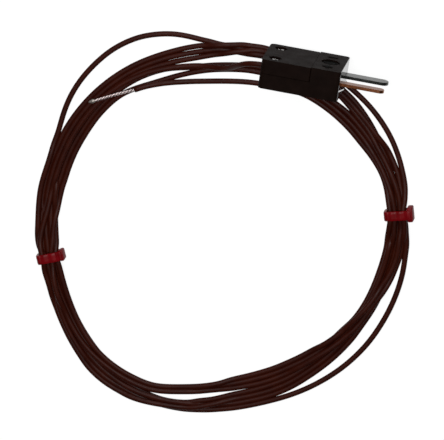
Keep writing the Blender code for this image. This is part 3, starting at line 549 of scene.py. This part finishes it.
def block(shape, side, near_and_far, half_width, bottom_and_top, corner):
    """A box on one side of the bundle, with rounded upright edges and a softened rim."""
    left, right = sorted(side * x for x in near_and_far)
    bottom, top = bottom_and_top
    middle = (left + right) / 2
    outline = rounded_loop((left, -half_width), (right, half_width), corner, BLOCK_CORNER_STEPS)
    levels = [(bottom + rise, inset) for rise, inset in BLOCK_FOOT]
    levels += [(top - drop, inset) for drop, inset in BLOCK_RIM]
    rings = []
    for z, inset in levels:
        narrowed = 1 - inset / ((right - left) / 2)
        shortened = 1 - inset / half_width
        rings.append([
            shape.verts.new((middle + (x - middle) * narrowed, y * shortened, z)) for x, y in outline
        ])
    stack(shape, rings)


def cable_tie(name, tie, head, finish):
    """A moulded tie: the strap, its head on one side, and the cut end that comes up through
    the head."""
    angle, radius = tie
    side, width, thickness = head
    far = BORE_HALF_WIDTH + thickness
    shape = bmesh.new()
    strap(shape)
    block(
        shape, side, (BORE_HALF_WIDTH + STRAP_THICKNESS / 2, far), width / 2,
        (HEAD_BOTTOM, HEAD_TOP), HEAD_CORNER,
    )
    block(
        shape, side, (BORE_HALF_WIDTH + STUB_SETBACK[0], far - STUB_SETBACK[1]), STUB_HALF_WIDTH,
        (STUB_BOTTOM, STUB_TOP), STUB_CORNER,
    )
    turn = math.radians(angle)
    place = COIL_CENTRE + Vector((math.cos(turn), math.sin(turn), 0)) * radius * MM
    return built(name, shape, finish, Matrix.Translation(place) @ Matrix.Rotation(turn, 4, "Z"))


def mark(name, outline, place, finish):
    """A flat raised mark on the wide face, with a softened rim."""
    shape = bmesh.new()
    rings = []
    shoulder = MARK_SHOULDER * MARK_HEIGHT
    for height, scale in ((-MARK_SINK, 1.0), (shoulder, 1.0), (MARK_HEIGHT, MARK_TOP)):
        rings.append([shape.verts.new((x * scale, height, z * scale)) for x, z in outline])
    stack(shape, rings)
    return built(name, shape, finish, Matrix.Translation(Vector(place) * MM))


def polarity_marks(finish):
    """A plus beside the narrow blade and a minus beside the wide one."""
    long, short = MARK_ARM, MARK_BAR
    plus = (
        (-short, -long), (short, -long), (short, -short), (long, -short),
        (long, short), (short, short), (short, long), (-short, long),
        (-short, short), (-long, short), (-long, -short), (-short, -short),
    )
    minus = ((-long, -short), (long, -short), (long, short), (-long, short))
    above = (-MARK_SETBACK, WIDE_FACE, MARK_SPACING / 2)
    below = (-MARK_SETBACK, WIDE_FACE, -MARK_SPACING / 2)
    return mark("mark_plus", plus, above, finish), mark("mark_minus", minus, below, finish)


def recess_disc(name, finish):
    """The floor of the round recess, with one raised ring: a thin sheet whose dark finish is painted
    shade.
    """
    inner, outer, height = RECESS_RING
    rim, thin = RECESS_RIM
    profile = (
        (inner - RING_SLOPE, RECESS_FLOOR), (inner, height), (outer, height),
        (outer + RING_SLOPE, RECESS_FLOOR), (RECESS_RADIUS - rim, RECESS_FLOOR),
        (RECESS_RADIUS, thin), (RECESS_RADIUS, -thin),
    )
    shape = bmesh.new()
    rings = []
    for radius, rise in profile:
        ring = []
        for i in range(RECESS_SIDES):
            turn = math.tau * i / RECESS_SIDES
            across, up = radius * math.cos(turn), radius * math.sin(turn)
            ring.append(shape.verts.new((across, rise - RECESS_DEPTH, up)))
        rings.append(ring)
    stack(shape, rings)
    place = Vector((-RECESS_SETBACK, WIDE_FACE, 0)) * MM
    return built(name, shape, finish, Matrix.Translation(place))


def new_material(name, colour, roughness, metallic=0.0, specular=0.5):
    """A material with its shader, to which the looks below add their nodes."""
    made = bpy.data.materials.new(name)
    made.use_nodes = True
    shader = made.node_tree.nodes["Principled BSDF"]
    shader.inputs["Base Color"].default_value = (*colour, 1)
    shader.inputs["Roughness"].default_value = roughness
    shader.inputs["Metallic"].default_value = metallic
    shader.inputs["Specular IOR Level"].default_value = specular
    return made, made.node_tree, shader


def node(tree, kind, inputs=(), **settings):
    """A shader node, its inputs set to values or linked to other nodes' outputs."""
    made = tree.nodes.new(kind)
    for name, value in settings.items():
        setattr(made, name, value)
    for name, value in dict(inputs).items():
        if isinstance(value, bpy.types.NodeSocket):
            tree.links.new(value, made.inputs[name])
        else:
            made.inputs[name].default_value = value
    return made


def mottle(tree, scale, low, high, vector=None, detail=4.0):
    """Noise in the piece's own place, its scale per metre, spread between two values."""
    if vector is None:
        vector = node(tree, "ShaderNodeTexCoord").outputs["Object"]
    cloud = node(
        tree, "ShaderNodeTexNoise", {"Vector": vector, "Scale": scale, "Detail": detail}
    )
    spread = node(
        tree, "ShaderNodeMapRange",
        {"Value": cloud.outputs[0], "From Min": 0.3, "From Max": 0.7, "To Min": low, "To Max": high},
    )
    return spread.outputs[0]


def two_colours(tree, shader, amount, first, second):
    """A base colour that goes from the first to the second with the amount."""
    mix = node(tree, "ShaderNodeMix", {"Factor": amount}, data_type="RGBA")
    mix.inputs["A"].default_value = (*first, 1)
    mix.inputs["B"].default_value = (*second, 1)
    tree.links.new(mix.outputs["Result"], shader.inputs["Base Color"])


def bump(tree, shader, height, strength, distance):
    """Relief too fine for the mesh, its distance in metres."""
    made = node(
        tree, "ShaderNodeBump", {"Height": height, "Strength": strength, "Distance": distance}
    )
    tree.links.new(made.outputs[0], shader.inputs["Normal"])


def cable_finish():
    """A dark red-brown jacket with the fine slant of fibres wound both ways under it."""
    made, tree, shader = new_material("cable jacket", (0.03, 0.004, 0.001), 0.42, specular=0.08)
    along = node(tree, "ShaderNodeUVMap", uv_map="along").outputs[0]
    scaled = node(tree, "ShaderNodeMapping", {"Vector": along})
    scaled.inputs["Scale"].default_value = (2200, 6, 1)
    fibres = []
    for slant in (1, -1):
        lean = node(tree, "ShaderNodeMapping", {"Vector": scaled.outputs[0]})
        lean.inputs["Rotation"].default_value = (0, 0, slant * math.radians(42))
        fibres.append(node(
            tree, "ShaderNodeTexWave", {"Vector": lean.outputs[0], "Scale": 0.5, "Distortion": 1.2},
        ).outputs[1])
    weave = node(tree, "ShaderNodeMath", {0: fibres[0], 1: fibres[1]}, operation="MAXIMUM")
    patches = mottle(tree, 260, 0.0, 1.0)
    tint = node(
        tree, "ShaderNodeMath", {0: weave.outputs[0], 1: patches}, operation="MULTIPLY"
    )
    two_colours(tree, shader, tint.outputs[0], (0.018, 0.0022, 0.0007), (0.032, 0.0044, 0.0013))
    tree.links.new(mottle(tree, 900, 0.38, 0.5), shader.inputs["Roughness"])
    bump(tree, shader, weave.outputs[0], 0.1, 0.00002)
    return made


def moulding_finish(name, dark, light, low, high):
    """Black nylon: a fine spark-eroded grain, faint scuffs that are a little smoother, and a
    polished mating face, which lies where X is zero."""
    made, tree, shader = new_material(name, dark, 0.4, specular=0.022)
    two_colours(tree, shader, mottle(tree, 420, 0, 1), dark, light)
    place = node(tree, "ShaderNodeTexCoord").outputs["Object"]
    across = node(tree, "ShaderNodeSeparateXYZ", {0: place})
    polish = node(
        tree, "ShaderNodeMapRange",
        {"Value": across.outputs[0], "From Min": -0.12 * MM, "From Max": -0.02 * MM},
    )
    tree.links.new(polish.outputs[0], shader.inputs["Coat Weight"])
    tree.links.new(mottle(tree, 300, low, high, detail=6), shader.inputs["Roughness"])
    bump(tree, shader, mottle(tree, 5200, 0, 1, detail=2), 0.05, 0.00002)
    return made


def brushed_finish(name, dark, light, low, high):
    """Metal with fine lines along its X direction."""
    made, tree, shader = new_material(name, dark, 0.3, metallic=1.0)
    place = node(tree, "ShaderNodeTexCoord").outputs["Object"]
    drawn = node(tree, "ShaderNodeMapping", {"Vector": place})
    drawn.inputs["Scale"].default_value = (60, 2600, 2600)
    lines = mottle(tree, 1.0, 0, 1, drawn.outputs[0])
    two_colours(tree, shader, mottle(tree, 330, 0, 1), dark, light)
    tree.links.new(mottle(tree, 700, low, high), shader.inputs["Roughness"])
    bump(tree, shader, lines, 0.015, 0.00001)
    return made


def tie_finish():
    """Red nylon, smooth but for a slight unevenness."""
    made, tree, shader = new_material("tie nylon", (0.12, 0.001, 0.003), 0.35, specular=0.07)
    two_colours(
        tree, shader, mottle(tree, 500, 0, 1), (0.088, 0.0005, 0.0015), (0.13, 0.0015, 0.0035)
    )
    tree.links.new(mottle(tree, 800, 0.3, 0.42), shader.inputs["Roughness"])
    bump(tree, shader, mottle(tree, 900, 0, 1), 0.04, 0.00003)
    return made


def plain_finish(name, dark, light, low, high, specular=0.5):
    """Plastic or rubber with an even grain."""
    made, tree, shader = new_material(name, dark, 0.5, specular=specular)
    two_colours(tree, shader, mottle(tree, 600, 0, 1), dark, light)
    tree.links.new(mottle(tree, 1200, low, high), shader.inputs["Roughness"])
    bump(tree, shader, mottle(tree, 2400, 0, 1), 0.15, 0.00003)
    return made


def carried_finishes(cable, tie, wire, weld):
    """The finishes of the pieces that the frame carries, each with its pieces' names."""
    base = moulding_finish("base nylon", (0.0034, 0.0014, 0.0009), (0.0058, 0.0026, 0.0018), 0.5, 0.62)
    cover = moulding_finish("cover nylon", (0.0036, 0.0015, 0.001), (0.0062, 0.0028, 0.002), 0.5, 0.62)
    copper = brushed_finish("copper blade", (0.14, 0.048, 0.02), (0.19, 0.074, 0.035), 0.2, 0.3)
    silver = brushed_finish("silver blade", (0.05, 0.052, 0.049), (0.075, 0.077, 0.072), 0.2, 0.3)
    steel = brushed_finish("screw steel", (0.86, 0.85, 0.83), (0.97, 0.96, 0.94), 0.3, 0.42)
    brass = brushed_finish("washer brass", (0.5, 0.42, 0.26), (0.66, 0.58, 0.4), 0.25, 0.4)
    rubber = plain_finish("grommet rubber", (0.012, 0.012, 0.012), (0.024, 0.024, 0.024), 0.6, 0.8)
    red = plain_finish("red core", (0.4, 0.1, 0.05), (0.5, 0.14, 0.07), 0.4, 0.6)
    dark_red = plain_finish("dark red core", (0.42, 0.02, 0.015), (0.52, 0.04, 0.03), 0.4, 0.6)
    return (
        (base, ("plug_base",)),
        (cover, ("plug_cover",)),
        (copper, ("pin_positive",)),
        (silver, ("pin_negative",)),
        (steel, ("cover_screw_upper", "cover_screw_lower")),
        (steel, ("terminal_screw_positive", "terminal_screw_negative")),
        (brass, ("clamp_washer_positive", "clamp_washer_negative")),
        (rubber, ("cable_grommet",)),
        (red, ("insulated_core_positive",)),
        (dark_red, ("insulated_core_negative",)),
        (wire, ("wire_end_positive", "wire_end_negative")),
        (wire, ("bare_wire_positive", "bare_wire_negative")),
        (weld, ("weld_bead",)),
        (tie, ("cable_tie_left", "cable_tie_right")),
        (cable, ("cable_lead", "cable_coil", "cable_tail")),
    )


def add_floor():
    """A pale floor that the camera, metal and clear parts see nearly white, with shadows."""
    bpy.ops.mesh.primitive_plane_add(size=FLOOR_SIZE, location=COIL_CENTRE)
    floor = bpy.context.object
    floor.name = "floor"
    made = bpy.data.materials.new("floor")
    made.use_nodes = True
    tree = made.node_tree
    tree.nodes.remove(tree.nodes["Principled BSDF"])
    matt = node(tree, "ShaderNodeBsdfDiffuse", {"Color": (*FLOOR_COLOUR, 1)})
    white = node(tree, "ShaderNodeEmission", {"Color": (1, 1, 1, 1), "Strength": FLOOR_GLOW})
    path = node(tree, "ShaderNodeLightPath")
    seen = node(
        tree, "ShaderNodeMath",
        {0: path.outputs["Is Camera Ray"], 1: path.outputs["Is Glossy Ray"]}, operation="MAXIMUM",
    )
    seen = node(
        tree, "ShaderNodeMath",
        {0: seen.outputs[0], 1: path.outputs["Is Transmission Ray"]}, operation="MAXIMUM",
    )
    share = node(
        tree, "ShaderNodeMath", {0: seen.outputs[0], 1: FLOOR_GLOW_SHARE}, operation="MULTIPLY"
    )
    mix = node(
        tree, "ShaderNodeMixShader", {0: share.outputs[0], 1: matt.outputs[0], 2: white.outputs[0]}
    )
    tree.links.new(mix.outputs[0], tree.nodes["Material Output"].inputs["Surface"])
    floor.data.materials.append(made)


def add_sky():
    """An even white sky round the scene."""
    world = bpy.data.worlds.new("studio")
    bpy.context.scene.world = world
    world.use_nodes = True
    sky = world.node_tree.nodes["Background"]
    sky.inputs["Color"].default_value = (1, 1, 1, 1)
    sky.inputs["Strength"].default_value = SKY_STRENGTH


def add_lamp(name, place, size, power):
    """A square soft lamp that faces the coil."""
    lamp = bpy.data.lights.new(name, "AREA")
    lamp.size = size
    lamp.energy = power
    holder = bpy.data.objects.new(name, lamp)
    bpy.context.scene.collection.objects.link(holder)
    holder.location = Vector(place) + COIL_CENTRE
    holder.rotation_euler = (-Vector(place)).to_track_quat("-Z", "Y").to_euler()


add_camera()

# The cable, in place of its three plain solids
route, run = cable_route()
cable_jacket = cable_finish()
cable = swept("cable", route, run, section(CABLE_SIDES), cable_jacket)
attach(cable, "root")
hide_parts("cable_lead", "cable_coil", "cable_tail")

# The ties, and the bare pair with its welded tip
tie_nylon = tie_finish()
left_tie = cable_tie("tie_left", TIES[0], LEFT_HEAD, tie_nylon)
right_tie = cable_tie("tie_right", TIES[1], RIGHT_HEAD, tie_nylon)
bare_wire = brushed_finish("bare wire", (0.5, 0.42, 0.41), (0.62, 0.54, 0.53), 0.42, 0.54)
weld_metal = brushed_finish("weld metal", (0.2, 0.18, 0.16), (0.36, 0.33, 0.3), 0.35, 0.6)
middle = line_through(
    [Vector(route[-1]) / MM] + [place_seen(*seen) for seen in BARE_PAIR], PAIR_STEPS
)
positive_wire = twisted("bare_pair_positive", middle, 0, bare_wire)
negative_wire = twisted("bare_pair_negative", middle, 1, bare_wire)
tip = place_seen(*BEAD_AT)
weld = bead("welded_tip", tip * MM, tip - Vector(middle[-TIP_STEPS]), weld_metal)

# The plug's marks and the floor of its recess, in a nylon darker and duller than the plug's: painted
# shade in the recess and on the marks
painted_shade_nylon = plain_finish(
    "painted shade nylon", (0.001, 0.0008, 0.0006), (0.002, 0.0015, 0.0012), 0.5, 0.7, specular=0.01
)
plus_mark, minus_mark = polarity_marks(painted_shade_nylon)
disc = recess_disc("recess_shade_floor", painted_shade_nylon)

for piece, slot in (
    (left_tie, "tie_nylon"), (right_tie, "tie_nylon"), (positive_wire, "bare_wire"),
    (negative_wire, "bare_wire"), (weld, "weld_metal"), (plus_mark, "plug_nylon"),
    (minus_mark, "plug_nylon"), (disc, "plug_nylon"),
):
    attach(piece, "root")
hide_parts("cable_tie_left")
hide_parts("cable_tie_right")
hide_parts("bare_wire_positive")
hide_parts("bare_wire_negative")
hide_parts("weld_bead")

for finish, names in carried_finishes(cable_jacket, tie_nylon, bare_wire, weld_metal):
    for name in names:
        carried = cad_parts[name]
        carried.data.materials.clear()
        carried.data.materials.append(finish)

add_floor()
add_sky()
for lamp in LAMPS:
    add_lamp(*lamp)
bpy.context.scene.view_settings.view_transform = "Standard"
